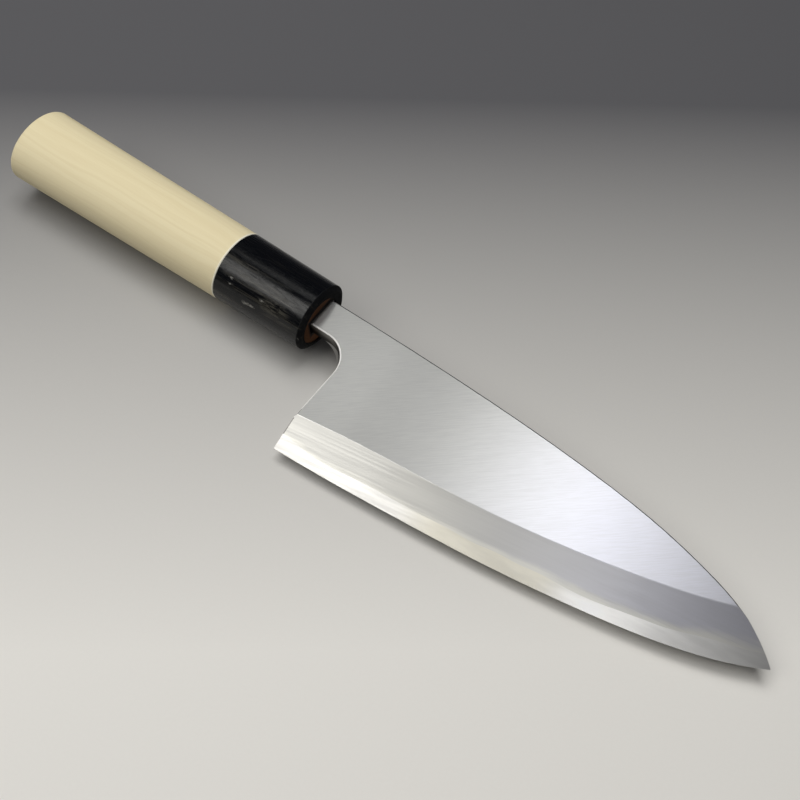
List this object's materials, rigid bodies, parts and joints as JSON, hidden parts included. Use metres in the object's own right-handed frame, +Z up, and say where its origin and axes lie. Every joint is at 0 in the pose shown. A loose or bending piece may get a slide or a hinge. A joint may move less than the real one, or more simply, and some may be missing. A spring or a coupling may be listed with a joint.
{
  "type": "deba knife",
  "caption": "Right-handed single-bevel deba kitchen knife: soft iron blade with a hard steel edge, pale oval wood handle, black horn ferrule, brown wood core round the tang.",
  "frame": {"origin": "centre of the bounding box's underside, on the table under the knife", "axes": "+X from the butt of the handle to the blade's tip, +Y towards the spine, +Z up, with the bevelled side of the blade up and the knife lying on its ferrule and the belly of its edge"},
  "size_m": [0.3098, 0.06, 0.0271],
  "materials": {
    "soft_iron": "satin ground",
    "hard_steel": "fine ground",
    "pale_wood": "smooth, unvarnished",
    "black_horn": "polished",
    "brown_wood": "raw, scorched"
  },
  "bodies": {
    "root": {"blade_iron": "soft_iron", "edge_steel": "hard_steel", "handle_body": "pale_wood", "horn_ferrule": "black_horn", "tang_core": "brown_wood"}
  },
  "joints": []
}
